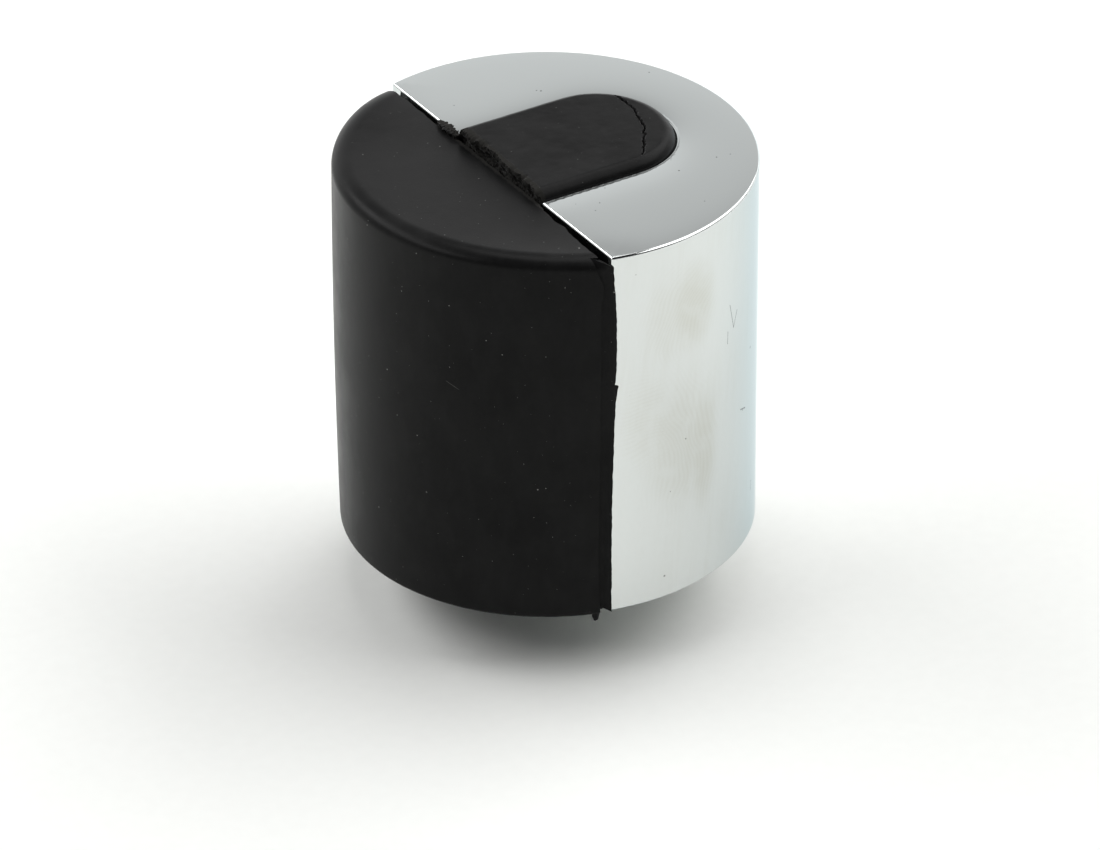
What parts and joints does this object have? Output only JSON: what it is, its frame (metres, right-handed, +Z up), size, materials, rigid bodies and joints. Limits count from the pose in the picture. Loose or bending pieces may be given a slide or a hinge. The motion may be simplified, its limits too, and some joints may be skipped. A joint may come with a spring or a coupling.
{
  "type": "cylindrical door stop",
  "caption": "Short upright cylinder for the floor behind a door: a mirror-chromed metal body with a flat, and a black rubber buffer whose tongue fills a round-ended slot in the top.",
  "frame": {"origin": "on the cylinder's axis, at the level of the spigot's lower end, on which the part stands", "axes": "+Z up along the cylinder's axis, -X from the flat of the chromed body to the rubber that the door strikes, Y along the flat"},
  "size_m": [0.0402, 0.04, 0.0459],
  "materials": {
    "chrome": "mirror-bright chrome plate with finger marks, fine scratches and specks",
    "rubber": "matt black moulded rubber with a grey bloom, dust, a torn tongue root and moulding flash"
  },
  "bodies": {
    "root": {"chromed_body": "chrome", "rubber_buffer": "rubber"}
  },
  "joints": []
}
